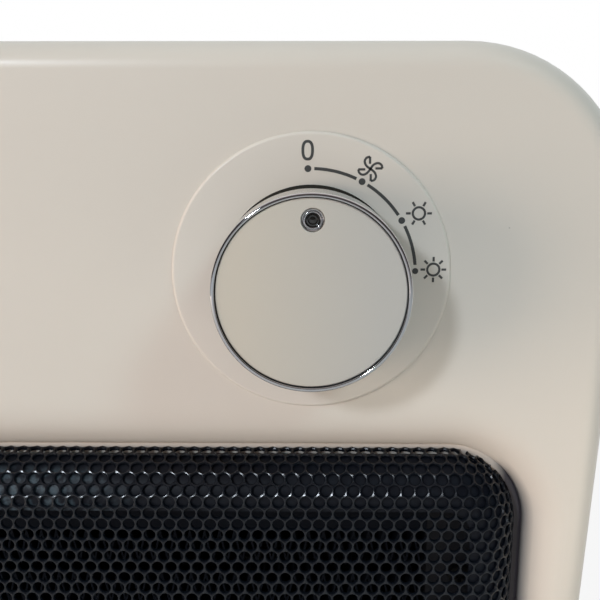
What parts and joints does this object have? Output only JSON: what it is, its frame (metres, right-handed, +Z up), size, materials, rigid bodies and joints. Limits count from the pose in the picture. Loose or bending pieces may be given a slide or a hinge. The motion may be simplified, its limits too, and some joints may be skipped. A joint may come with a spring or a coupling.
{
  "type": "wall-mounted ceramic heater",
  "caption": "Wall-hung fan heater with a ceramic heating element behind a domed perforated outlet, a chrome-skirted rotary control and a slotted rear housing on a hook bracket.",
  "frame": {"origin": "centre of the wall bracket's screw pattern, on the wall plane", "axes": "+X to the right seen from the room, +Y into the wall, +Z up; the front faces -Y"},
  "size_m": [0.2364, 0.1364, 0.2635],
  "materials": {
    "cover_cream": "satin moulded ABS, warm cream",
    "housing_cream": "fine-textured moulded plastic, warm cream",
    "grille_black": "gloss black enamel on perforated steel sheet",
    "chrome": "polished chrome plating on plastic",
    "cap_grey": "satin pale grey",
    "hub_plastic": "moulded nylon",
    "spring_steel": "tempered spring strip",
    "insert_dark": "dark",
    "zinc_steel": "bright zinc plating",
    "shaft_steel": "ground steel",
    "rubber_black": "moulded",
    "phenolic_black": "moulded thermoset",
    "brass": "turned or stamped brass and bronze",
    "aluminium": "die-cast",
    "black_aluminium": "extruded tubes and folded strip with a dark heat-resistant coat",
    "stone_ceramic": "fired dark ceramic",
    "rail_steel": "sheet darkened by heat",
    "end_cap_black": "heat-resistant moulded polymer",
    "terminal_tin": "dull tinned strip",
    "cutout_ceramic": "unglazed white ceramic",
    "duct_grey": "glass-filled polymer",
    "laminated_steel": "stacked electrical steel",
    "coil_copper": "enamelled copper winding under tape",
    "block_white": "moulded polyamide",
    "lead_brown": "insulated wire",
    "lead_white": "glass-sleeved wire",
    "lead_blue": "insulated wire"
  },
  "bodies": {
    "bracket": {"wall_bracket": "zinc_steel"},
    "housing": {"housing_screws": "zinc_steel", "switch_plate": "zinc_steel", "switch_screws": "zinc_steel", "element_screws": "zinc_steel", "cutout_strap": "zinc_steel", "duct_screws": "zinc_steel", "motor_screws": "zinc_steel", "block_screws": "zinc_steel", "rear_housing": "housing_cream", "rubber_buffers": "rubber_black", "inlet_grommet": "rubber_black", "front_cover": "cover_cream", "dial_plate": "cover_cream", "outlet_grille": "grille_black", "detent_leaf": "spring_steel", "switch_body": "phenolic_black", "switch_contacts": "brass", "shaft_bushes": "brass", "motor_front_bracket": "aluminium", "motor_rear_bracket": "aluminium", "element_tubes": "black_aluminium", "element_fins": "black_aluminium", "ceramic_stones": "stone_ceramic", "element_rails": "rail_steel", "heat_shield": "rail_steel", "element_end_caps": "end_cap_black", "element_terminals": "terminal_tin", "thermal_cutout": "cutout_ceramic", "thermal_fuse": "cutout_ceramic", "fan_duct": "duct_grey", "stator": "laminated_steel", "motor_coil": "coil_copper", "terminal_block": "block_white", "switch_leads": "lead_brown", "element_leads": "lead_white", "motor_leads": "lead_blue"},
    "knob": {"knob_skirt": "chrome", "knob_cap": "cap_grey", "knob_hub": "hub_plastic", "knob_clip": "spring_steel", "pointer_bezel": "chrome", "pointer_insert": "insert_dark", "switch_shaft": "shaft_steel", "switch_rotor": "hub_plastic"},
    "fan": {"impeller": "duct_grey", "hub_nut": "brass", "motor_shaft": "shaft_steel", "motor_rotor": "laminated_steel"}
  },
  "joints": [
    {"name": "housing_lift", "type": "slide", "parent": "bracket", "child": "housing", "axis": [0, 0, 1], "range_m": [0, 0.008]},
    {"name": "knob_turn", "type": "hinge", "parent": "housing", "child": "knob", "pos_m": [0.0463, -0.12, 0.0614], "axis": [0, 1, 0], "range_deg": [0, 90]},
    {"name": "fan_spin", "type": "hinge", "parent": "housing", "child": "fan", "pos_m": [0, -0.03, -0.0545], "axis": [0, -1, 0], "continuous": true}
  ]
}
